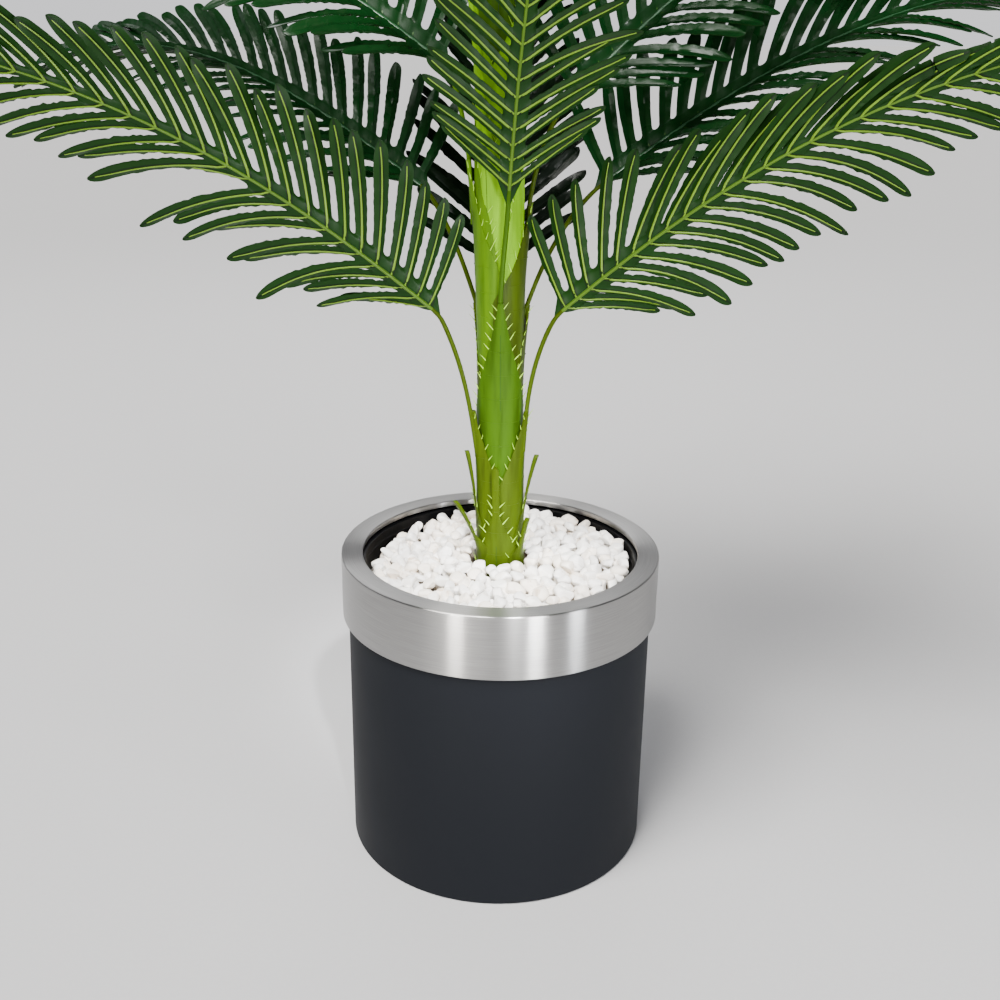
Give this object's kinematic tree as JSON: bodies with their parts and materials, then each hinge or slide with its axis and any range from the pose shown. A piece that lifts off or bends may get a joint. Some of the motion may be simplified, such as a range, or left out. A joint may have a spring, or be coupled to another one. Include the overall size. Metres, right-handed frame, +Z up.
{
  "type": "artificial potted areca palm",
  "caption": "Artificial areca palm: a sheathed green trunk with arching plastic fronds, set in white pebbles in a black cylindrical planter with a brushed steel collar.",
  "frame": {"origin": "centre of the planter's flat underside", "axes": "+Z up along the planter and trunk, -Y towards the side seen in the picture, +X to its right"},
  "size_m": [1.2123, 0.9311, 1.4948],
  "materials": {
    "black_powder_coat": "matte",
    "brushed_steel": "brushed round the band",
    "black_liner_plastic": "satin",
    "planting_filling": "rough",
    "white_pebbles": "tumbled",
    "trunk_green": "satin",
    "leaf_green": "satin"
  },
  "bodies": {
    "root": {"pot_body": "black_powder_coat", "pot_collar": "brushed_steel", "pot_liner": "black_liner_plastic", "planting_core": "planting_filling", "pebble_bed": "white_pebbles", "trunk": "trunk_green", "frond_01": "leaf_green", "frond_02": "leaf_green", "frond_03": "leaf_green", "frond_04": "leaf_green", "frond_05": "leaf_green", "frond_06": "leaf_green", "frond_07": "leaf_green", "frond_08": "leaf_green", "frond_09": "leaf_green", "frond_10": "leaf_green", "frond_11": "leaf_green", "frond_12": "leaf_green", "frond_13": "leaf_green", "frond_14": "leaf_green", "frond_15": "leaf_green", "frond_16": "leaf_green", "frond_17": "leaf_green"}
  },
  "joints": []
}
